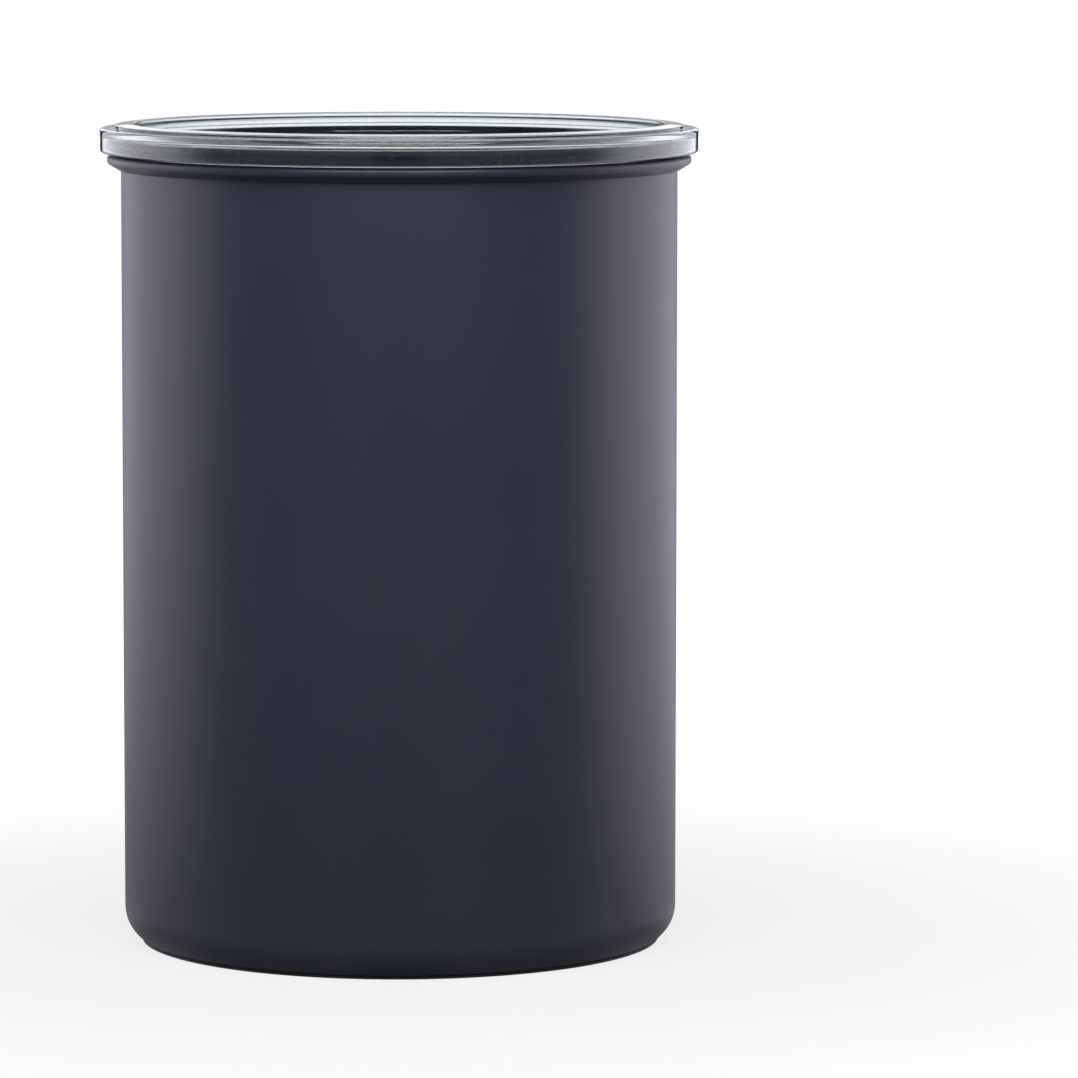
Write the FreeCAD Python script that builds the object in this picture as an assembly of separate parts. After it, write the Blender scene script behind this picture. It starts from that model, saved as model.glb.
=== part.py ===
import FreeCAD, Part
import math
import os

# Coffee canister with a clear lid and a press-down inner lid that has a hand-worked air valve.
# Millimetres, +Z up, origin at the centre of the base, front towards -Y.

# Canister: one drawn steel sheet with a rolled rim
body_radius = 60.3
wall = 0.6
rim_top = 171.4
rim_reach = 3.0
rim_land = 1.7
rim_cone_angle = 31.0
rim_corner = 0.9
mouth_round = 1.2
curl_gap = 0.15
base_corner = 8.0
base_slope = 34.0
foot_bend = 1.5
foot_width = 7.0
foot_rise = 1.5
foot_slope = 3.0
foot_round = 1.0

# Foot pad: a thin rubber ring under the base
pad_height = 0.5
pad_gap = 0.05
pad_step = 0.2
pad_width = 6.0
pad_round = 0.15

# Outer lid: a clear cap with a channel for its seal; another canister's foot drops into its sunken top
band_gap = 0.5
lid_overhang = 1.7
band_height = 5.3
band_wall = 1.05
band_cover = 0.6
band_top_corner = 0.9
band_bottom_corner = 0.45
channel_corner = 1.2
ring_height = 1.0
ring_land = 4.2
ring_round = 0.25
stack_gap = 0.8
recess_depth = 4.8
recess_corner = 0.8
lid_plate = 1.8
plug_gap = 0.3
plug_wall = 1.6
plug_depth = 6.0
plug_round = 0.6

# Lid seal: a soft ring in the lid's channel, with a lip over the rim
lid_seal_gap = 0.4
lid_seal_headroom = 1.6
lid_seal_rise = 0.5
lid_seal_corner = 1.3
seat_lip_gap = 0.3
seat_lip_inset = 0.7
seat_lip_width = 1.2
seat_lip_round = 0.3

# Inner lid plate: a spool-shaped edge carries the wiper seal
seal_gap = 0.3
lip_reach = 3.4
groove_depth = 3.0
plate_web = 2.4
skirt_depth = 12.0
skirt_wall = 2.0
skirt_foot = 1.8
edge_rim_rise = 2.2
edge_rim_width = 2.0
edge_round = 0.6
rib_count = 8
rib_width = 1.6
rib_depth = 6.0
rib_end_depth = 3.0

# Wiper seal
lip_count = 2
lip_pitch = 3.2
lip_first = 0.8
lip_root = 1.2
lip_tip = 0.5
lip_rise = 1.3
fit_gap = 0.1

# Valve port, seat and stem guide in the plate
port_radius = 7.0
seat_width = 1.6
seat_height = 1.0
port_drop = 3.2
spider_depth = 2.0
spoke_count = 3
spoke_width = 1.4
guide_wall = 1.3

# Valve: silicone disc on a poppet with a yoke round the cam
seat_gap = 0.05
valve_seal_depth = 1.5
valve_seal_overlap = 1.2
stud_radius = 2.0
barb_radius = 3.0
barb_length = 2.2
stem_radius = 1.5
stem_spare = 0.5
poppet_flange = 1.2
yoke_width = 5.0
yoke_leg = 2.0
yoke_bar = 2.0
yoke_clearance = 0.35
spigot_height = 1.4
spigot_gap = 0.25

# Valve spring
spring_radius = 3.6
spring_wire_radius = 0.35
spring_turns = 3.5
spring_height = 5.5
spring_end_gap = 0.05

# Cam shaft and its lift
valve_lift = 2.0
journal_radius = 2.5
running_gap = 0.05
cam_width = 6.0
cam_nose = 0.8
cam_overrun = 5.0
boss_radius = 3.4
boss_length = 7.0
boss_gap = 0.4
boss_round = 0.6
socket_depth = 5.0

# Hub round the valve and its vented cover
hub_clearance = 1.7
hub_wall = 2.0
hub_above_axis = 3.0
cover_gap = 0.3
cover_wall = 1.6
cover_top = 1.6
cover_round = 2.4
cup_depth = 1.2
cup_wall = 1.0
vent_count = 8
vent_width = 1.6
vent_margin = 1.2

# Bail handle
wire_radius = 1.9
bail_reach = 40.0
bail_rest_gap = 0.3
raised_clearance = 2.6

# Canister levels and radii that follow from the sizes above
mouth_radius = body_radius - wall
rim_radius = body_radius + rim_reach
base_level = pad_height + pad_gap

# The base turns in two bends that run into each other
base_tilt = math.radians(base_slope)
base_bend_run = base_corner * math.tan(math.pi / 4 - base_tilt / 2)
foot_bend_run = foot_bend * math.tan(base_tilt / 2)
foot_radius = body_radius - (base_bend_run + foot_bend_run) * math.cos(base_tilt)
base_rise = (body_radius - foot_radius) * math.tan(base_tilt)
pad_radius = foot_radius + pad_step

# Outer lid levels and radii
ring_inner = pad_radius + stack_gap
ring_radius = ring_inner + ring_land
band_radius = rim_radius + lid_overhang
channel_radius = band_radius - band_wall
lid_bottom = rim_top + band_gap
band_top = lid_bottom + band_height
channel_top = band_top - band_cover
lid_top = band_top + ring_height
recess_floor = lid_top - recess_depth
lid_underside = recess_floor - lid_plate
plug_radius = mouth_radius - plug_gap

# Valve heights above the plate's top face
seal_level = seat_height + seat_gap
flange_level = seal_level + valve_seal_depth
window_level = flange_level + poppet_flange
axis_level = window_level + valve_lift + yoke_clearance + journal_radius
bar_level = axis_level + journal_radius + running_gap
spring_level = bar_level + yoke_bar
ceiling_level = spring_level + spring_height

# The folded bail slopes down until its arch lies on the plate, and stands upright when raised
fold_drop = math.asin((axis_level - wire_radius - bail_rest_gap) / bail_reach)
raise_angle = math.pi / 2 + fold_drop
cam_rate = valve_lift / raise_angle
plunger_top = lid_underside - raised_clearance - wire_radius - bail_reach - axis_level
axis_height = plunger_top + axis_level

# Radii of the valve, hub and cover, from the inside out
seat_radius = port_radius + seat_width
valve_radius = seat_radius + valve_seal_overlap
cam_reach = math.hypot(journal_radius + cam_rate * (raise_angle + math.radians(cam_overrun)), cam_rate)
window_half = cam_reach + yoke_clearance
hub_inner = valve_radius + hub_clearance
hub_outer = hub_inner + hub_wall
cover_inner = hub_outer + cover_gap
cover_outer = cover_inner + cover_wall
boss_start = cover_outer + boss_gap
bail_half = boss_start + boss_length / 2

# Plate edge radii
flange_radius = mouth_radius - seal_gap - lip_reach
skirt_radius = flange_radius - groove_depth
skirt_inner = skirt_radius - skirt_wall
web_low = plunger_top - plate_web
skirt_low = plunger_top - skirt_depth
port_low = web_low - port_drop

origin = FreeCAD.Vector(0, 0, 0)
x_axis = FreeCAD.Vector(1, 0, 0)
z_axis = FreeCAD.Vector(0, 0, 1)
pivot = FreeCAD.Vector(0, 0, axis_height)
overlap = 0.5
shortest_line = 0.00001


def rounded_wire(corners):
    """Closed wire of lines and tangent arcs through (radius, height, rounding) corners."""
    points = [FreeCAD.Vector(r, 0, z) for r, z, _ in corners]
    starts = list(points)
    ends = list(points)
    edges = []
    arcs = {}
    for i, corner in enumerate(corners):
        rounding = corner[2]
        if rounding:
            back = (points[i - 1] - points[i]).normalize()
            ahead = (points[(i + 1) % len(points)] - points[i]).normalize()
            half = back.getAngle(ahead) / 2
            run = rounding / math.tan(half)
            inward = (back + ahead).normalize() * (rounding / math.sin(half) - rounding)
            starts[i] = points[i] + back * run
            ends[i] = points[i] + ahead * run
            arcs[i] = Part.Arc(starts[i], points[i] + inward, ends[i]).toShape()
    for i in range(len(points)):
        if i in arcs:
            edges.append(arcs[i])
        following = starts[(i + 1) % len(points)]
        if following.distanceToPoint(ends[i]) > shortest_line:
            edges.append(Part.LineSegment(ends[i], following).toShape())
    return Part.Wire(edges)


def turned(corners):
    """Solid of revolution about Z from a section of (radius, height, rounding) corners."""
    return Part.Face(rounded_wire(corners)).revolve(origin, z_axis, 360)


def sheet_section(path, thickness):
    """Closed section of a sheet that follows an open path and lies to the right of it."""
    steps = []
    for (r0, z0, _), (r1, z1, _) in zip(path, path[1:]):
        length = math.hypot(r1 - r0, z1 - z0)
        steps.append(((r1 - r0) / length, (z1 - z0) / length))
    far_side = []
    for i, (r, z, rounding) in enumerate(path):
        before = steps[max(i - 1, 0)]
        after = steps[min(i, len(steps) - 1)]
        share = thickness / (1 + before[0] * after[0] + before[1] * after[1])
        turn = before[0] * after[1] - before[1] * after[0]
        new_rounding = rounding + math.copysign(thickness, turn) if rounding else 0
        far_side.append((r + share * (before[1] + after[1]), z - share * (before[0] + after[0]), new_rounding))
    return path + far_side[::-1]


def rod(radius, start, end):
    """Round bar between two points."""
    return Part.makeCylinder(radius, (end - start).Length, start, end - start)


def around(shape, count):
    """Copies of a shape spread evenly about the Z axis."""
    copies = []
    for i in range(count):
        copy = shape.copy()
        copy.rotate(origin, z_axis, 360 * i / count)
        copies.append(copy)
    return copies


def box_between(low, high):
    """Block from its lowest to its highest corner."""
    return Part.makeBox(*(high - low), low)


def canister_shell():
    """Drawn cup: sunken base, foot ring, straight wall and a rim rolled outwards and back to the wall."""
    slant = math.radians(rim_cone_angle)
    foot_inner = foot_radius - foot_width
    floor = base_level + wall
    foot_shift = wall * math.tan(base_tilt / 2)
    base_shift = wall * math.tan(math.pi / 4 - base_tilt / 2)
    land_low = rim_top - rim_land
    curl_end = body_radius + curl_gap + wall * math.sin(slant)
    curl_low = land_low - (rim_radius - curl_end) * math.tan(slant)
    path = [
        (0, floor + foot_rise, 0),
        (foot_inner - foot_slope, floor + foot_rise, foot_round + wall),
        (foot_inner, floor, foot_round),
        (foot_radius - foot_shift, floor, foot_bend - wall),
        (mouth_radius, base_level + base_rise + base_shift, base_corner - wall),
        (mouth_radius, rim_top, mouth_round),
        (rim_radius, rim_top, rim_corner),
        (rim_radius, land_low, rim_corner),
        (curl_end, curl_low, 0),
    ]
    return turned(sheet_section(path, wall))


def foot_pad():
    """Thin rubber ring under the foot, a little wider than the flat that it is glued to."""
    section = [
        (pad_radius - pad_width, 0, 0),
        (pad_radius, 0, pad_round),
        (pad_radius, pad_height, pad_round),
        (pad_radius - pad_width, pad_height, 0),
    ]
    return turned(section)


def outer_lid():
    """Clear lid: sunken plate, stacking ring, channel under a thin band, and a plug in the mouth."""
    section = [
        (0, lid_underside, 0),
        (plug_radius - plug_wall, lid_underside, plug_round),
        (plug_radius - plug_wall, lid_bottom - plug_depth, plug_round),
        (plug_radius, lid_bottom - plug_depth, plug_round),
        (plug_radius, channel_top, 0),
        (channel_radius, channel_top, channel_corner),
        (channel_radius, lid_bottom, band_bottom_corner),
        (band_radius, lid_bottom, band_bottom_corner),
        (band_radius, band_top, band_top_corner),
        (ring_radius, band_top, ring_round / 2),
        (ring_radius, lid_top, ring_round),
        (ring_inner, lid_top, ring_round),
        (ring_inner, recess_floor, recess_corner),
        (0, recess_floor, 0),
    ]
    return turned(section)


def lid_seal():
    """Soft ring round the plug in the lid's channel, with a lip that closes on the rim."""
    inner = plug_radius + fit_gap
    outer = channel_radius - lid_seal_gap
    low = lid_bottom + lid_seal_rise
    high = channel_top - lid_seal_headroom
    lip_low = rim_top + seat_lip_gap
    lip_inner = inner + seat_lip_inset
    lip_outer = lip_inner + seat_lip_width
    section = [
        (inner, low, 0),
        (lip_inner, low, 0),
        (lip_inner, lip_low, seat_lip_round),
        (lip_outer, lip_low, seat_lip_round),
        (lip_outer, low, 0),
        (outer, low, lid_seal_corner),
        (outer, high, lid_seal_corner),
        (inner, high, seat_lip_round),
    ]
    return turned(section)


def shaft_slot(inner, outer, low, high):
    """Cutter for the shaft's bearing in a round wall, on both sides, open from low to high."""
    half = journal_radius + running_gap
    cutters = []
    for side in (1, -1):
        near = min(side * inner, side * outer)
        far = max(side * inner, side * outer)
        cutters.append(rod(half, FreeCAD.Vector(near, 0, axis_height), FreeCAD.Vector(far, 0, axis_height)))
        cutters.append(box_between(FreeCAD.Vector(near, -half, low), FreeCAD.Vector(far, half, high)))
    return cutters


def plunger_plate():
    """Inner lid: web, spool edge for the seal, hub with open bearings, valve port and underside ribs."""
    top = plunger_top
    hub_top = axis_height + hub_above_axis
    rim_outer = skirt_radius
    rim_inner = rim_outer - edge_rim_width
    section = [
        (port_radius, port_low, 0),
        (port_radius, top + seat_height, 0),
        (seat_radius, top + seat_height, 0),
        (seat_radius, top, 0),
        (hub_inner, top, 0),
        (hub_inner, hub_top, 0),
        (hub_outer, hub_top, 0),
        (hub_outer, top, 0),
        (rim_inner, top, edge_round),
        (rim_inner, top + edge_rim_rise, edge_round),
        (rim_outer, top + edge_rim_rise, edge_round),
        (rim_outer, top, edge_round),
        (flange_radius, top, edge_round),
        (flange_radius, web_low, 0),
        (skirt_radius, web_low, 0),
        (skirt_radius, skirt_low + skirt_foot, 0),
        (flange_radius, skirt_low + skirt_foot, 0),
        (flange_radius, skirt_low, edge_round),
        (skirt_inner, skirt_low, edge_round),
        (skirt_inner, web_low, edge_round),
        (seat_radius, web_low, edge_round),
        (seat_radius, port_low, 0),
    ]
    plate = turned(section)
    rib_corners = [
        (seat_radius - overlap, web_low + overlap, 0),
        (skirt_inner + overlap, web_low + overlap, 0),
        (skirt_inner + overlap, web_low - rib_end_depth, 0),
        (seat_radius - overlap, min(web_low - rib_depth, port_low), 0),
    ]
    rib = Part.Face(rounded_wire(rib_corners)).extrude(FreeCAD.Vector(0, rib_width, 0))
    rib.translate(FreeCAD.Vector(0, -rib_width / 2, 0))
    guide_radius = stem_radius + running_gap
    guide_outer = guide_radius + guide_wall
    guide_base = FreeCAD.Vector(0, 0, port_low)
    guide = Part.makeCylinder(guide_outer, spider_depth, guide_base)
    spoke_start = FreeCAD.Vector(guide_outer - overlap, -spoke_width / 2, port_low)
    spoke_end = FreeCAD.Vector(port_radius + overlap, spoke_width / 2, port_low + spider_depth)
    spokes = around(box_between(spoke_start, spoke_end), spoke_count)
    plate = plate.multiFuse([guide] + spokes + around(rib, rib_count))
    bore = Part.makeCylinder(guide_radius, spider_depth, guide_base)
    slots = shaft_slot(hub_inner - overlap, hub_outer + overlap, axis_height, hub_top + overlap)
    return plate.cut([bore] + slots).removeSplitter()


def plunger_seal():
    """Silicone ring in the plate's groove with wiper lips that lean upwards."""
    inner = skirt_radius + fit_gap
    outer = flange_radius
    tip = mouth_radius - seal_gap
    low = skirt_low + skirt_foot + seat_gap
    high = web_low - seat_gap
    section = [(inner, high, 0), (inner, low, 0), (outer, low, 0)]
    for i in range(lip_count):
        root = low + lip_first + i * lip_pitch
        section.append((outer, root, 0))
        section.append((tip, root + lip_rise, lip_tip / 3))
        section.append((tip, root + lip_rise + lip_tip, lip_tip / 3))
        section.append((outer, root + lip_root, 0))
    section.append((outer, high, 0))
    return turned(section)


def valve_cover():
    """Vented cap that stands on the plate round the hub and closes the shaft's bearings from above."""
    base = plunger_top
    ceiling = plunger_top + ceiling_level
    cup_inner = spring_radius + spring_wire_radius + spigot_gap
    cup_outer = cup_inner + cup_wall
    section = [
        (0, ceiling, 0),
        (cup_inner, ceiling, 0),
        (cup_inner, ceiling - cup_depth, 0),
        (cup_outer, ceiling - cup_depth, 0),
        (cup_outer, ceiling, 0),
        (cover_inner, ceiling, 0),
        (cover_inner, base, 0),
        (cover_outer, base, 0),
        (cover_outer, ceiling + cover_top, cover_round),
        (0, ceiling + cover_top, 0),
    ]
    cap = turned(section)
    half = vent_width / 2
    vent_start = cup_outer + vent_margin + half
    vent_end = hub_inner - vent_margin - half
    vent_low = ceiling - overlap
    vent_high = ceiling + cover_top + overlap
    lift = FreeCAD.Vector(0, 0, vent_high - vent_low)
    vent = box_between(FreeCAD.Vector(vent_start, -half, vent_low), FreeCAD.Vector(vent_end, half, vent_high))
    for end in (vent_start, vent_end):
        foot = FreeCAD.Vector(end, 0, vent_low)
        vent = vent.fuse(rod(half, foot, foot + lift))
    vent.rotate(origin, z_axis, 180 / vent_count)
    slots = shaft_slot(cover_inner - overlap, cover_outer + overlap, base - overlap, axis_height)
    return cap.cut(around(vent, vent_count) + slots).removeSplitter()


def valve_poppet():
    """Poppet: flange over the seal, stud with a barb, guided stem, and a yoke that the cam lifts."""
    seal_base = plunger_top + seal_level
    flange_base = plunger_top + flange_level
    window_base = plunger_top + window_level
    bar_base = plunger_top + bar_level
    bar_top = plunger_top + spring_level
    stem_low = port_low - valve_lift - stem_spare
    spigot = spring_radius - spring_wire_radius - spigot_gap
    section = [
        (0, stem_low, 0),
        (stem_radius, stem_low, stem_radius / 3),
        (stem_radius, seal_base - seat_gap - barb_length, 0),
        (barb_radius, seal_base - seat_gap, 0),
        (stud_radius, seal_base - seat_gap, 0),
        (stud_radius, flange_base, 0),
        (valve_radius, flange_base, 0),
        (valve_radius, window_base, 0),
        (0, window_base, 0),
    ]
    body = turned(section)
    half = yoke_width / 2
    reach = window_half + yoke_leg
    frame = box_between(FreeCAD.Vector(-half, -reach, window_base - overlap), FreeCAD.Vector(half, reach, bar_top))
    window = box_between(
        FreeCAD.Vector(-half - overlap, -window_half, window_base),
        FreeCAD.Vector(half + overlap, window_half, bar_base),
    )
    peg = Part.makeCylinder(spigot, spigot_height, FreeCAD.Vector(0, 0, bar_top))
    return body.fuse(frame.cut(window)).fuse(peg).removeSplitter()


def valve_seal():
    """Silicone disc held on the poppet's stud."""
    low = plunger_top + seal_level
    high = plunger_top + flange_level
    bore = stud_radius + fit_gap
    section = [
        (bore, low, 0),
        (valve_radius, low, valve_seal_depth / 4),
        (valve_radius, high, 0),
        (bore, high, 0),
    ]
    return turned(section)


def biarc(start, start_way, end, end_way):
    """Two arcs that leave start along start_way and arrive at end along end_way."""
    chord = end - start
    ways = start_way + end_way
    spread = 2 * (1 - start_way.dot(end_way))
    along = chord.dot(ways)
    reach = (math.sqrt(along ** 2 + spread * chord.dot(chord)) - along) / spread
    middle = (start + end + (start_way - end_way) * reach) * 0.5
    return [bent_edge(start, start_way, middle), bent_edge(end, end_way * -1, middle)]


def bent_edge(start, way, end):
    """Arc from start, leaving along way, to end."""
    chord = end - start
    angle = way.getAngle(chord)
    across = way - chord * (way.dot(chord) / chord.dot(chord))
    bulge = across.normalize() * (chord.Length / 2 * math.tan(angle / 2))
    return Part.Arc(start, (start + end) * 0.5 + bulge, end).toShape()


def helix_point(angle, low, pitch):
    """Point of the spring's centre line and the way it runs there."""
    rise = pitch / (2 * math.pi)
    point = FreeCAD.Vector(spring_radius * math.cos(angle), spring_radius * math.sin(angle), low + rise * angle)
    way = FreeCAD.Vector(-spring_radius * math.sin(angle), spring_radius * math.cos(angle), rise)
    return point, way.normalize()


def valve_spring():
    """Open coil between the yoke's bar and the cover, one tube along quarter-turn biarcs."""
    low = plunger_top + spring_level + spring_wire_radius + spring_end_gap
    high = plunger_top + ceiling_level - spring_wire_radius - spring_end_gap
    pitch = (high - low) / spring_turns
    quarters = round(spring_turns * 4)
    edges = []
    for i in range(quarters):
        start, start_way = helix_point(i * math.pi / 2, low, pitch)
        end, end_way = helix_point((i + 1) * math.pi / 2, low, pitch)
        edges.extend(biarc(start, start_way, end, end_way))
    path = Part.Wire(Part.sortEdges(edges)[0])
    start, way = helix_point(0, low, pitch)
    section = Part.Wire(Part.Circle(start, way, spring_wire_radius).toShape())
    print("spring gap between turns", round(pitch - 2 * spring_wire_radius, 3))
    return path.makePipeShell([section], True, False)


def cam_way(angle):
    """Outward direction on the cam at an angle from straight up towards +Y, at rest."""
    return FreeCAD.Vector(0, math.sin(angle), math.cos(angle))


def cam_point(angle):
    """Point of the involute flank, whose height under a flat bar grows evenly with the handle's turn."""
    along = FreeCAD.Vector(0, math.cos(angle), -math.sin(angle))
    return pivot + cam_way(angle) * (journal_radius + cam_rate * angle) + along * cam_rate


def cam_lobe():
    """Cam: flat start, involute flank, rounded nose, straight back and the shaft's own circle."""
    steps = 10
    last = raise_angle + math.radians(cam_overrun)
    flank = Part.BSplineCurve()
    flank.interpolate([cam_point(last * i / steps) for i in range(steps + 1)])
    nose_centre = cam_point(last) - cam_way(last) * cam_nose
    offset = nose_centre - pivot
    bearing = math.atan2(offset.y, offset.z)
    back = bearing + math.acos((journal_radius - cam_nose) / offset.Length)
    nose_end = nose_centre + cam_way(back) * cam_nose
    nose_middle = nose_centre + cam_way((last + back) / 2) * cam_nose
    circle_start = pivot + cam_way(back) * journal_radius
    circle_middle = pivot + cam_way((back + 2 * math.pi) / 2) * journal_radius
    circle_end = pivot + cam_way(0) * journal_radius
    outline = [
        flank.toShape(),
        Part.Arc(cam_point(last), nose_middle, nose_end).toShape(),
        Part.LineSegment(nose_end, circle_start).toShape(),
        Part.Arc(circle_start, circle_middle, circle_end).toShape(),
        Part.LineSegment(circle_end, cam_point(0)).toShape(),
    ]
    lobe = Part.Face(Part.Wire(outline)).extrude(x_axis * cam_width)
    lobe.translate(x_axis * (-cam_width / 2))
    return lobe


def folded(shape):
    """Turns a piece of the handle from level to the slope of the folded bail."""
    shape.rotate(pivot, x_axis, -math.degrees(fold_drop))
    return shape


def cam_shaft():
    """Cross shaft: journals in the hub, the cam between them, and a socketed boss at each end."""
    shaft = rod(journal_radius, pivot - x_axis * boss_start, pivot + x_axis * boss_start)
    pieces = [cam_lobe()]
    sockets = []
    for side in (1, -1):
        start = pivot + x_axis * (side * boss_start)
        end = start + x_axis * (side * boss_length)
        boss = rod(boss_radius, start, end)
        rims = [edge for edge in boss.Edges if edge.Closed and abs(edge.CenterOfMass.x - end.x) < overlap]
        pieces.append(boss.makeFillet(boss_round, rims))
        mouth = FreeCAD.Vector(side * bail_half, boss_radius + overlap, axis_height)
        floor = FreeCAD.Vector(side * bail_half, boss_radius - socket_depth, axis_height)
        sockets.append(folded(rod(wire_radius + running_gap, floor, mouth)))
    return shaft.multiFuse(pieces).cut(sockets).removeSplitter()


def bail_handle():
    """Wire bail: two straight legs out of the shaft's sockets joined by a half-round arch."""
    leg_start = boss_radius - socket_depth + running_gap
    leg_end = bail_reach - bail_half
    left_foot = FreeCAD.Vector(-bail_half, leg_start, axis_height)
    left_turn = FreeCAD.Vector(-bail_half, leg_end, axis_height)
    crown = FreeCAD.Vector(0, bail_reach, axis_height)
    right_turn = FreeCAD.Vector(bail_half, leg_end, axis_height)
    right_foot = FreeCAD.Vector(bail_half, leg_start, axis_height)
    path = Part.Wire(
        [
            Part.LineSegment(left_foot, left_turn).toShape(),
            Part.Arc(left_turn, crown, right_turn).toShape(),
            Part.LineSegment(right_turn, right_foot).toShape(),
        ]
    )
    section = Part.Wire(Part.Circle(left_foot, FreeCAD.Vector(0, 1, 0), wire_radius).toShape())
    return folded(path.makePipeShell([section], True, False))


pieces = {
    "canister_shell": canister_shell(),
    "foot_pad": foot_pad(),
    "outer_lid": outer_lid(),
    "lid_seal": lid_seal(),
    "plunger_plate": plunger_plate(),
    "plunger_seal": plunger_seal(),
    "valve_cover": valve_cover(),
    "valve_poppet": valve_poppet(),
    "valve_seal": valve_seal(),
    "valve_spring": valve_spring(),
    "cam_shaft": cam_shaft(),
    "bail_handle": bail_handle(),
}
os.makedirs("parts", exist_ok=True)
for name, shape in pieces.items():
    shape.exportStep(f"parts/{name}.step")
    print(name, len(shape.Solids), shape.isValid(), round(shape.Volume, 1))
print("handle axis height", round(axis_height, 4), "raise angle", round(math.degrees(raise_angle), 4))
print("plunger top", round(plunger_top, 4), "skirt low", round(skirt_low, 4), "lid top", round(lid_top, 4))
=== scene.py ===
import math

import bmesh
import bpy
from mathutils import Matrix, Vector


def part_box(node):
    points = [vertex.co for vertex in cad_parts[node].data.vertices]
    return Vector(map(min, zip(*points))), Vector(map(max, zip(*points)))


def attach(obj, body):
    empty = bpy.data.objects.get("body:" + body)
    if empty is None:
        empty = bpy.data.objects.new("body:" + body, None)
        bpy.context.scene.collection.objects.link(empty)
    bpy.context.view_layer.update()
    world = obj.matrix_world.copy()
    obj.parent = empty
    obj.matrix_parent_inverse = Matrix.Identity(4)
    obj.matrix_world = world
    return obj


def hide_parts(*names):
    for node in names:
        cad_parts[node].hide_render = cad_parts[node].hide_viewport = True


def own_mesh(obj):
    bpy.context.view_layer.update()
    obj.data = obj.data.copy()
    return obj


# Coffee canister with a clear lid and a press-down inner lid. Metres, +Z up, front towards -Y.
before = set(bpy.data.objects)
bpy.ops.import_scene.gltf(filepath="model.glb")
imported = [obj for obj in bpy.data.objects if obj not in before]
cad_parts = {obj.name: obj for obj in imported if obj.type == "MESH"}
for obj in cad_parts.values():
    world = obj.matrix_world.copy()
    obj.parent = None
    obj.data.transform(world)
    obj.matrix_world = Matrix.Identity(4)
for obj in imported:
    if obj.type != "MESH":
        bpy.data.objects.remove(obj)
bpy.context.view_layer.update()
scene = bpy.context.scene
mm = 0.001

# Canister: a drawn steel sheet with a rolled rim
shell_low, shell_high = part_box("canister_shell")
base_level = shell_low.z
rim_radius = shell_high.x
rim_top = shell_high.z
rim_reach = 3.0 * mm
rim_land = 1.7 * mm
rim_cone_angle = math.radians(31)
rim_corner = 0.9 * mm
mouth_round = 1.2 * mm
curl_gap = 0.15 * mm
wall = 0.6 * mm
base_corner = 8.0 * mm
base_slope = math.radians(34)
foot_bend = 1.5 * mm
foot_width = 7.0 * mm
foot_rise = 1.5 * mm
foot_slope = 3.0 * mm
foot_round = 1.0 * mm
body_radius = rim_radius - rim_reach
mouth_radius = body_radius - wall
base_bend_run = base_corner * math.tan(math.pi / 4 - base_slope / 2)
foot_bend_run = foot_bend * math.tan(base_slope / 2)
foot_radius = body_radius - (base_bend_run + foot_bend_run) * math.cos(base_slope)
base_rise = (body_radius - foot_radius) * math.tan(base_slope)

# Foot pad: a thin rubber ring under the base
pad_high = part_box("foot_pad")[1]
pad_radius = pad_high.x
pad_height = pad_high.z
pad_width = 6.0 * mm
pad_round = 0.15 * mm

# Outer lid: a clear cap with a channel for its seal
lid_low, lid_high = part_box("outer_lid")
band_radius = lid_high.x
lid_top = lid_high.z
plug_low = lid_low.z
plug_depth = 6.0 * mm
plug_gap = 0.3 * mm
plug_wall = 1.6 * mm
plug_round = 0.6 * mm
band_height = 5.3 * mm
band_wall = 1.05 * mm
band_cover = 0.6 * mm
band_top_corner = 0.9 * mm
band_bottom_corner = 0.9 * mm
band_inner_corner = 0.1 * mm
channel_corner = 1.2 * mm
ring_land = 4.2 * mm
ring_round = 0.25 * mm
ring_foot_round = ring_round / 2
ring_flat = 1.2 * mm
ring_crown = 0.3 * mm
ring_crown_round = 10.0 * mm
stack_gap = 0.8 * mm
recess_depth = 4.8 * mm
recess_corner = 0.8 * mm
lid_plate = 1.8 * mm
lid_bottom = plug_low + plug_depth
band_top = lid_bottom + band_height
channel_radius = band_radius - band_wall
channel_top = band_top - band_cover
plug_radius = mouth_radius - plug_gap
ring_inner = pad_radius + stack_gap
ring_radius = ring_inner + ring_land
recess_floor = lid_top - recess_depth
lid_underside = recess_floor - lid_plate

# Lid seal: a soft ring in the lid's channel, with a lip over the rim
seal_low, seal_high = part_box("lid_seal")
seal_radius = seal_high.x
fit_gap = 0.1 * mm
seat_lip_height = 0.7 * mm
seat_lip_inset = 0.7 * mm
seat_lip_width = 1.2 * mm
seat_lip_round = 0.3 * mm
lid_seal_corner = 1.3 * mm

# Valve spring
spring_low, spring_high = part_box("valve_spring")
spring_wire_radius = 0.35 * mm
spring_turns = 3.5
spring_radius = spring_high.x - spring_wire_radius

# Mesh steps
turned_segments = 256
arc_steps = 8
sharp_angle = math.radians(35)
weld_distance = 0.0001 * mm
coil_steps = 48
wire_sides = 12

# Part of the noise's range that is spread over a material's own range
noise_span = (0.3, 0.7)

# Sockets of a node that mixes two colours
mix_share = 0
mix_first = 6
mix_second = 7
mix_result = 2

# Light
white = (1, 1, 1, 1)
cool_white = (0.96, 0.962, 1.05, 1)

# Camera, from the fit to the picture's edges
picture_width = 1078
focal_pixels = 6512.8
camera_distance = 1.4134
camera_height = 0.2383
camera_yaw = math.radians(1.2295)
camera_pitch = math.radians(6.0917)
camera_roll = math.radians(0.05)
sensor_width = 36.0


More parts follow.
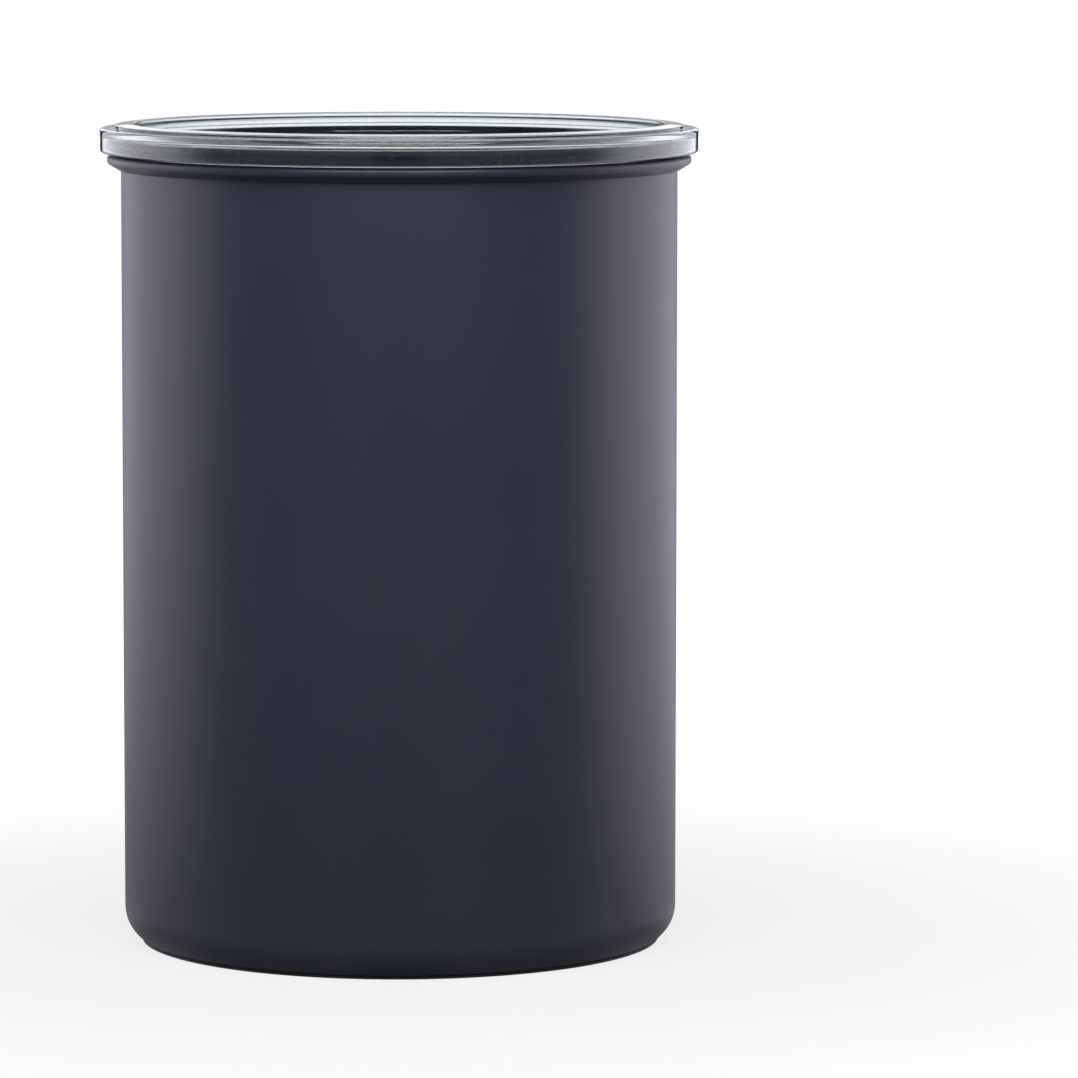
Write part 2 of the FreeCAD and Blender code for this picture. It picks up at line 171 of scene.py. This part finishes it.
def rounded(corners):
    """Section points through (radius, height, rounding) corners, with an arc at each rounding."""
    points = []
    for i, (radius, height, rounding) in enumerate(corners):
        corner = Vector((radius, height))
        if not rounding:
            points.append(corner)
            continue
        back = (Vector(corners[i - 1][:2]) - corner).normalized()
        ahead = (Vector(corners[i + 1][:2]) - corner).normalized()
        half = back.angle(ahead) / 2
        centre = corner + (back + ahead).normalized() * (rounding / math.sin(half))
        start = corner + back * (rounding / math.tan(half)) - centre
        end = corner + ahead * (rounding / math.tan(half)) - centre
        turn = -start.angle_signed(end)
        for k in range(arc_steps + 1):
            points.append(centre + Matrix.Rotation(turn * k / arc_steps, 2) @ start)
    return points


def far_side(path, thickness):
    """Corners of a sheet's other face, to the right of an open path, from its end to its start."""
    steps = []
    for (r0, z0, _), (r1, z1, _) in zip(path, path[1:]):
        steps.append(Vector((r1 - r0, z1 - z0)).normalized())
    corners = []
    for i, (radius, height, rounding) in enumerate(path):
        before = steps[max(i - 1, 0)]
        after = steps[min(i, len(steps) - 1)]
        share = thickness / (1 + before.dot(after))
        turn = before.x * after.y - before.y * after.x
        new_rounding = rounding + math.copysign(thickness, turn) if rounding else 0
        way = before + after
        corners.append((radius + share * way.y, height - share * way.x, new_rounding))
    return corners[::-1]


def join_rings(work, rings, material_index):
    """Faces between each ring of points and the next."""
    for first, second in zip(rings, rings[1:]):
        for k in range(len(first)):
            after = (k + 1) % len(first)
            face = work.faces.new((first[k], first[after], second[after], second[k]))
            face.material_index = material_index


def mesh_piece(name, work, materials):
    """Scene object with a smooth mesh whose edges stay sharp where faces meet at an angle."""
    bmesh.ops.recalc_face_normals(work, faces=work.faces)
    mesh = bpy.data.meshes.new(name)
    work.to_mesh(mesh)
    work.free()
    mesh.polygons.foreach_set("use_smooth", [True] * len(mesh.polygons))
    mesh.set_sharp_from_angle(angle=sharp_angle)
    for material in materials:
        mesh.materials.append(material)
    piece = bpy.data.objects.new(name, mesh)
    scene.collection.objects.link(piece)
    flatten = piece.modifiers.new("flat_faces_stay_flat", "WEIGHTED_NORMAL")
    flatten.keep_sharp = True
    return piece


def turned(name, strips, materials):
    """Piece turned about Z from strips of section points, one material for each strip."""
    work = bmesh.new()
    for index, points in enumerate(strips):
        rings = []
        for point in points:
            ring = []
            for k in range(turned_segments):
                angle = 2 * math.pi * k / turned_segments
                x = point.x * math.cos(angle)
                y = point.x * math.sin(angle)
                ring.append(work.verts.new((x, y, point.y)))
            rings.append(ring)
        join_rings(work, rings, index)
    bmesh.ops.remove_doubles(work, verts=work.verts, dist=weld_distance)
    return mesh_piece(name, work, materials)


def canister(coat, steel):
    """Coated shell with a bare steel inside, up to the start of the rolled rim."""
    foot_inner = foot_radius - foot_width
    floor = base_level + wall
    foot_shift = wall * math.tan(base_slope / 2)
    base_shift = wall * math.tan(math.pi / 4 - base_slope / 2)
    land_low = rim_top - rim_land
    curl_end = body_radius + curl_gap + wall * math.sin(rim_cone_angle)
    curl_low = land_low - (rim_radius - curl_end) * math.tan(rim_cone_angle)
    coat_edge = (mouth_radius, rim_top - mouth_round, 0)
    inside = [
        (0, floor + foot_rise, 0),
        (foot_inner - foot_slope, floor + foot_rise, foot_round + wall),
        (foot_inner, floor, foot_round),
        (foot_radius - foot_shift, floor, foot_bend - wall),
        (mouth_radius, base_level + base_rise + base_shift, base_corner - wall),
    ]
    rim = [
        (mouth_radius, rim_top, mouth_round),
        (rim_radius, rim_top, rim_corner),
        (rim_radius, land_low, rim_corner),
        (curl_end, curl_low, 0),
    ]
    outside = [coat_edge] + rim + far_side(inside + rim, wall)
    strips = [rounded(outside), rounded(inside + [coat_edge])]
    piece = turned("canister_body", strips, [coat, steel])
    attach(piece, "canister")
    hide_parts("canister_shell")


def rubber_foot(rubber):
    """Thin rubber ring under the base."""
    section = [
        (pad_radius - pad_width, 0, 0),
        (pad_radius, 0, pad_round),
        (pad_radius, pad_height, pad_round),
        (pad_radius - pad_width, pad_height, 0),
        (pad_radius - pad_width, 0, 0),
    ]
    piece = turned("rubber_foot", [rounded(section)], [rubber])
    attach(piece, "canister")
    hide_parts("foot_pad")


def seal_ring(silicone):
    """Soft ring in the lid's channel with the lip that closes on the rim."""
    inner = plug_radius + fit_gap
    low = seal_low.z + seat_lip_height
    lip_inner = inner + seat_lip_inset
    lip_outer = lip_inner + seat_lip_width
    section = [
        (inner, low, 0),
        (lip_inner, low, 0),
        (lip_inner, seal_low.z, seat_lip_round),
        (lip_outer, seal_low.z, seat_lip_round),
        (lip_outer, low, 0),
        (seal_radius, low, lid_seal_corner),
        (seal_radius, seal_high.z, lid_seal_corner),
        (inner, seal_high.z, seat_lip_round),
        (inner, low, 0),
    ]
    piece = turned("seal_ring", [rounded(section)], [silicone])
    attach(piece, "outer_lid")
    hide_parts("lid_seal")


def clear_lid(plastic):
    """Clear lid with its plug, channel, band, stacking ring and sunken top."""
    section = [
        (0, lid_underside, 0),
        (plug_radius - plug_wall, lid_underside, plug_round),
        (plug_radius - plug_wall, plug_low, plug_round),
        (plug_radius, plug_low, plug_round),
        (plug_radius, channel_top, 0),
        (channel_radius, channel_top, channel_corner),
        (channel_radius, lid_bottom, band_inner_corner),
        (band_radius, lid_bottom, band_bottom_corner),
        (band_radius, band_top, band_top_corner),
        (ring_radius, band_top, ring_foot_round),
        (ring_radius, lid_top - ring_crown, ring_round),
        (ring_inner + ring_flat, lid_top, ring_crown_round),
        (ring_inner, lid_top, ring_round),
        (ring_inner, recess_floor, recess_corner),
        (0, recess_floor, 0),
    ]
    piece = turned("clear_lid", [rounded(section)], [plastic])
    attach(piece, "outer_lid")
    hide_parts("outer_lid")


def coil_point(angle):
    """Point of the spring's centre line and the way it runs there."""
    low = spring_low.z + spring_wire_radius
    high = spring_high.z - spring_wire_radius
    rise = (high - low) / (2 * math.pi * spring_turns)
    x = spring_radius * math.cos(angle)
    y = spring_radius * math.sin(angle)
    point = Vector((x, y, low + rise * angle))
    way = Vector((-y, x, rise))
    return point, way.normalized()


def coil_spring(steel):
    """Open coil of round wire, carried with the plunger."""
    work = bmesh.new()
    rings = []
    for i in range(round(spring_turns * coil_steps) + 1):
        point, way = coil_point(2 * math.pi * i / coil_steps)
        outward = Vector((point.x, point.y, 0)).normalized()
        upward = way.cross(outward)
        ring = []
        for k in range(wire_sides):
            angle = 2 * math.pi * k / wire_sides
            offset = outward * math.cos(angle) + upward * math.sin(angle)
            ring.append(work.verts.new(point + offset * spring_wire_radius))
        rings.append(ring)
    join_rings(work, rings, 0)
    work.faces.new(rings[0])
    work.faces.new(rings[-1])
    piece = mesh_piece("coil_spring", work, [steel])
    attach(piece, "plunger")
    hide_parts("valve_spring")
    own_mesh(piece)


def node(tree, kind, inputs=None, **properties):
    """New shader node; an input is given a value, or a socket that is linked to it."""
    made = tree.nodes.new("ShaderNode" + kind)
    for name, value in properties.items():
        setattr(made, name, value)
    for name, value in (inputs or {}).items():
        if isinstance(value, bpy.types.NodeSocket):
            tree.links.new(value, made.inputs[name])
        else:
            made.inputs[name].default_value = value
    return made


def new_material(name):
    """Material with its node tree, the tree's output node and a place in the object's own frame."""
    material = bpy.data.materials.new(name)
    material.use_nodes = True
    tree = material.node_tree
    tree.nodes.clear()
    output = node(tree, "OutputMaterial")
    place = node(tree, "TexCoord").outputs["Object"]
    return material, tree, output, place


def noise(tree, place, scale, detail):
    """Noise value between 0 and 1, with scale in features per metre."""
    inputs = {"Vector": place, "Scale": scale, "Detail": detail}
    return node(tree, "TexNoise", inputs).outputs["Fac"]


def mapped(tree, value, span, low, high, step):
    """Value mapped from a span to a range, held at the range's ends."""
    start, end = span
    inputs = {"Value": value, "From Min": start, "From Max": end, "To Min": low, "To Max": high}
    return node(tree, "MapRange", inputs, interpolation_type=step).outputs["Result"]


def spread(tree, value, low, high):
    """Noise value spread evenly over a range."""
    return mapped(tree, value, noise_span, low, high, "LINEAR")


def ramp(tree, value, span, low, high):
    """Smooth step from low to high as the value crosses a span."""
    return mapped(tree, value, span, low, high, "SMOOTHSTEP")


def math_of(tree, operation, first, second=0.0):
    """Result of one arithmetic step on values or sockets."""
    return node(tree, "Math", {0: first, 1: second}, operation=operation).outputs[0]


def shaded(tree, value, dark, light):
    """Colour between two, by a noise value."""
    inputs = {mix_share: spread(tree, value, 0, 1), mix_first: (*dark, 1), mix_second: (*light, 1)}
    return node(tree, "Mix", inputs, data_type="RGBA").outputs[mix_result]


def bump(tree, height, depth, strength):
    """Normal of a surface whose relief is depth metres deep."""
    inputs = {"Height": height, "Distance": depth, "Strength": strength}
    return node(tree, "Bump", inputs).outputs["Normal"]


def mixed(tree, share, first, second):
    """Shader between two, by a share from 0 to 1."""
    return node(tree, "MixShader", {0: share, 1: first, 2: second}).outputs[0]


def finish_surface(tree, output, inputs):
    """Principled surface with the given inputs."""
    shader = node(tree, "BsdfPrincipled", inputs)
    tree.links.new(shader.outputs["BSDF"], output.inputs["Surface"])


def charcoal_coat():
    """Matte coat with a fine even grain and a faint drift in tone."""
    material, tree, output, place = new_material("charcoal_coat")
    grain = noise(tree, place, scale=3500, detail=2)
    drift = noise(tree, place, scale=45, detail=3)
    finish_surface(tree, output, {
        "Base Color": shaded(tree, drift, dark=(0.0202, 0.0246, 0.0422), light=(0.0214, 0.0258, 0.0437)),
        "Roughness": spread(tree, drift, low=0.385, high=0.405),
        "IOR": 1.6,
        "Specular Tint": (0.93, 0.92, 1.0, 1),
        "Normal": bump(tree, grain, depth=0.012 * mm, strength=0.5),
    })
    return material


def brushed_steel():
    """Bare steel with fine lines drawn round the axis."""
    line_scale = (12, 12, 4000)
    material, tree, output, place = new_material("brushed_steel")
    stretch = node(tree, "Mapping", {"Vector": place, "Scale": line_scale}).outputs["Vector"]
    lines = noise(tree, stretch, scale=1, detail=4)
    finish_surface(tree, output, {
        "Base Color": shaded(tree, lines, dark=(0.52, 0.51, 0.50), light=(0.64, 0.63, 0.61)),
        "Metallic": 1.0,
        "Roughness": spread(tree, lines, low=0.26, high=0.38),
        "Normal": bump(tree, lines, depth=0.004 * mm, strength=0.4),
    })
    return material


def smoked_clear():
    """Clear plastic with a grey-green tint in its depth and faint smears in its gloss."""
    material, tree, output, place = new_material("smoked_clear")
    smear = noise(tree, place, scale=120, detail=3)
    finish_surface(tree, output, {
        "Base Color": (0.95, 0.97, 0.97, 1),
        "Transmission Weight": 1.0,
        "Roughness": spread(tree, smear, low=0.01, high=0.03),
        "IOR": 1.49,
    })
    smoke = node(tree, "VolumeAbsorption", {"Color": (0.50, 0.545, 0.49, 1), "Density": 220.0})
    tree.links.new(smoke.outputs["Volume"], output.inputs["Volume"])
    return material


def moulded_plastic(name, dark, light, roughness):
    """Opaque plastic with the fine spark grain of its mould."""
    roughness_drift = 0.05
    material, tree, output, place = new_material(name)
    grain = noise(tree, place, scale=2600, detail=2)
    drift = noise(tree, place, scale=90, detail=2)
    finish_surface(tree, output, {
        "Base Color": shaded(tree, drift, dark, light),
        "Roughness": spread(tree, drift, roughness - roughness_drift, roughness + roughness_drift),
        "Normal": bump(tree, grain, depth=0.02 * mm, strength=0.5),
    })
    return material


def soft_rubber(name, dark, light, roughness):
    """Soft rubber with a dusty sheen."""
    roughness_drift = 0.08
    material, tree, output, place = new_material(name)
    dust = noise(tree, place, scale=700, detail=4)
    finish_surface(tree, output, {
        "Base Color": shaded(tree, dust, dark, light),
        "Roughness": spread(tree, dust, roughness - roughness_drift, roughness + roughness_drift),
        "Sheen Weight": 0.25,
        "Normal": bump(tree, dust, depth=0.02 * mm, strength=0.4),
    })
    return material


def polished_wire():
    """Bright steel wire with faint drawing marks."""
    material, tree, output, place = new_material("polished_wire")
    marks = noise(tree, place, scale=1500, detail=3)
    finish_surface(tree, output, {
        "Base Color": shaded(tree, marks, dark=(0.60, 0.60, 0.60), light=(0.68, 0.68, 0.67)),
        "Metallic": 1.0,
        "Roughness": spread(tree, marks, low=0.14, high=0.22),
        "Normal": bump(tree, marks, depth=0.003 * mm, strength=0.4),
    })
    return material


def dress(name, material):
    """Gives a solid of the frame its finish."""
    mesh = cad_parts[name].data
    mesh.materials.clear()
    mesh.materials.append(material)


def floor_glow(tree, place, distance):
    """Strength of the floor's light for gloss and clear plastic, by the place on the floor."""
    dark_level = 0.03
    front_level = 0.18
    right_level = 1.42
    left_near_level = 0.66 * right_level
    left_far_level = 0.92 * right_level
    back_level = 1.55
    base_front_level = 0.05
    base_side_level = 0.21
    # Spans of the bearing, which is -1 in front of the object and 1 behind it
    front_edge = (-0.992, -0.98)
    side_edge = (-0.27, 0.23)
    corner_edge = (0.925, 0.945)
    back_edge = (0.968, 0.982)
    base_edge = (-0.85, -0.40)
    # Spans of length on the floor
    left_to_right = (-0.1, 0.1)
    left_reach = (0.1, 1.6)
    far_reach = (-0.6, 1.1)
    base_reach = (0.07, 0.11)
    along = node(tree, "SeparateXYZ", {"Vector": place}).outputs
    bearing = math_of(tree, "DIVIDE", along["Y"], distance)
    front = ramp(tree, bearing, front_edge, dark_level, front_level)
    left = ramp(tree, distance, left_reach, left_near_level, left_far_level)
    lit_side = ramp(tree, along["X"], left_to_right, left, right_level)
    beside = ramp(tree, bearing, side_edge, front, lit_side)
    corner = ramp(tree, bearing, corner_edge, beside, dark_level)
    level = ramp(tree, bearing, back_edge, corner, back_level)
    far = math_of(tree, "MULTIPLY", level, ramp(tree, distance, far_reach, 0.0, 1.0))
    beneath = ramp(tree, bearing, base_edge, base_front_level, base_side_level)
    near = math_of(tree, "MULTIPLY", beneath, ramp(tree, distance, base_reach, 1.0, 0.0))
    return math_of(tree, "ADD", far, near)


def studio_floor():
    """Pale floor that keeps the object's shadow and lights its gloss and its clear plastic."""
    half = 6.0
    pale_grey = (0.60, 0.60, 0.60, 1)
    shadow_reach = (0.06, 0.25)
    shadow_white = 0.80
    mesh = bpy.data.meshes.new("floor")
    corners = [(-half, -half, 0), (half, -half, 0), (half, half, 0), (-half, half, 0)]
    mesh.from_pydata(corners, [], [(0, 1, 2, 3)])
    floor = bpy.data.objects.new("floor", mesh)
    scene.collection.objects.link(floor)
    material, tree, output, place = new_material("pale_floor")
    mesh.materials.append(material)
    distance = node(tree, "VectorMath", {0: place}, operation="LENGTH").outputs["Value"]
    path = node(tree, "LightPath").outputs
    mirrored = math_of(tree, "MAXIMUM", path["Is Glossy Ray"], path["Is Transmission Ray"])
    white_share = ramp(tree, distance, shadow_reach, shadow_white, 1.0)
    direct = math_of(tree, "MULTIPLY", path["Is Camera Ray"], white_share)
    matte = node(tree, "BsdfDiffuse", {"Color": pale_grey}).outputs[0]
    strength = floor_glow(tree, place, distance)
    glow = node(tree, "Emission", {"Color": cool_white, "Strength": strength}).outputs[0]
    plain = node(tree, "Emission", {"Color": white, "Strength": 1.0}).outputs[0]
    surface = mixed(tree, direct, mixed(tree, mirrored, matte, glow), plain)
    tree.links.new(surface, output.inputs["Surface"])


def studio_world():
    """White for the camera; gloss and clear plastic see lit walls with dark corners between them."""
    dark_level = 0.08
    high_level = 0.08
    front_high_level = 0.5
    horizon_level = 0.5
    back_level = 1.55
    right_level = 1.67
    left_level = 0.97 * right_level
    wall_top_share = 0.15
    # Spans of a direction's sideways, forward and upward parts
    back_edge = (0.19, 0.25)
    side_edge = (0.33, 0.38)
    left_to_right = (-0.4, 0.4)
    front_to_side = (-0.3, 0.1)
    front_to_top = (-0.35, 0.0)
    horizon_rise = (0.045, 0.075)
    wall_rise = (0.3, 0.7)
    ceiling_rise = (0.3, 0.8)
    world = bpy.data.worlds.new("studio")
    scene.world = world
    world.use_nodes = True
    tree = world.node_tree
    tree.nodes.clear()
    place = node(tree, "TexCoord").outputs["Generated"]
    way = node(tree, "SeparateXYZ", {"Vector": place}).outputs
    aside = math_of(tree, "ABSOLUTE", way["X"])
    upright = ramp(tree, way["Z"], horizon_rise, horizon_level, back_level)
    behind = ramp(tree, aside, back_edge, upright, dark_level)
    lit_side = ramp(tree, way["X"], left_to_right, left_level, right_level)
    walls = ramp(tree, aside, side_edge, behind, lit_side)
    around = math_of(tree, "MULTIPLY", walls, ramp(tree, way["Y"], front_to_side, 0.0, 1.0))
    low = math_of(tree, "MULTIPLY", around, ramp(tree, way["Z"], wall_rise, 1.0, wall_top_share))
    above = ramp(tree, way["Y"], front_to_top, front_high_level, high_level)
    high = ramp(tree, way["Z"], ceiling_rise, dark_level, above)
    level = math_of(tree, "MAXIMUM", low, high)
    room = node(tree, "Background", {"Color": cool_white, "Strength": level}).outputs[0]
    backdrop = node(tree, "Background", {"Color": white, "Strength": 1.0}).outputs[0]
    seen = node(tree, "LightPath").outputs["Is Camera Ray"]
    output = node(tree, "OutputWorld")
    tree.links.new(mixed(tree, seen, room, backdrop), output.inputs["Surface"])


def front_lamp():
    """Wide lamp above the front, unseen by the camera and through the clear plastic."""
    place = Vector((0.0, -0.50, 0.52))
    target = Vector((0, 0, 0.12))
    lamp = bpy.data.lights.new("front_top", "AREA")
    lamp.shape = "RECTANGLE"
    lamp.size = 0.7
    lamp.size_y = 0.35
    lamp.energy = 3.7
    holder = bpy.data.objects.new("front_top", lamp)
    holder.location = place
    holder.rotation_euler = (target - place).to_track_quat("-Z", "Y").to_euler()
    holder.visible_camera = False
    holder.visible_transmission = False
    scene.collection.objects.link(holder)


def photo_camera():
    """Camera at the picture's viewing angle."""
    ahead = Vector((
        math.sin(camera_yaw) * math.cos(camera_pitch),
        math.cos(camera_yaw) * math.cos(camera_pitch),
        -math.sin(camera_pitch),
    ))
    level_right = ahead.cross(Vector((0, 0, 1))).normalized()
    level_up = level_right.cross(ahead)
    right = level_right * math.cos(camera_roll) + level_up * math.sin(camera_roll)
    up = level_up * math.cos(camera_roll) - level_right * math.sin(camera_roll)
    data = bpy.data.cameras.new("camera")
    data.sensor_width = sensor_width
    data.lens = sensor_width * focal_pixels / picture_width
    camera = bpy.data.objects.new("camera", data)
    turn = Matrix((right, up, -ahead)).transposed().to_4x4()
    camera.matrix_world = Matrix.Translation((0, -camera_distance, camera_height)) @ turn
    scene.collection.objects.link(camera)
    scene.camera = camera


scene.view_settings.view_transform = "Standard"
photo_camera()
studio_world()
studio_floor()
front_lamp()

wire_steel = polished_wire()
black_plastic = moulded_plastic(
    "black_plastic", dark=(0.018, 0.018, 0.019), light=(0.024, 0.024, 0.025), roughness=0.42,
)
white_plastic = moulded_plastic(
    "white_plastic", dark=(0.70, 0.70, 0.68), light=(0.76, 0.76, 0.74), roughness=0.40,
)
grey_silicone = soft_rubber(
    "grey_silicone", dark=(0.20, 0.205, 0.21), light=(0.25, 0.255, 0.26), roughness=0.58,
)
dark_silicone = soft_rubber(
    "dark_silicone", dark=(0.060, 0.069, 0.108), light=(0.072, 0.081, 0.123), roughness=0.22,
)
black_rubber = soft_rubber(
    "black_rubber", dark=(0.010, 0.010, 0.010), light=(0.016, 0.016, 0.016), roughness=0.65,
)
canister(charcoal_coat(), brushed_steel())
rubber_foot(black_rubber)
clear_lid(smoked_clear())
seal_ring(dark_silicone)
coil_spring(wire_steel)
dress("plunger_plate", black_plastic)
dress("plunger_seal", grey_silicone)
dress("valve_cover", black_plastic)
dress("valve_poppet", white_plastic)
dress("valve_seal", grey_silicone)
dress("cam_shaft", black_plastic)
dress("bail_handle", wire_steel)
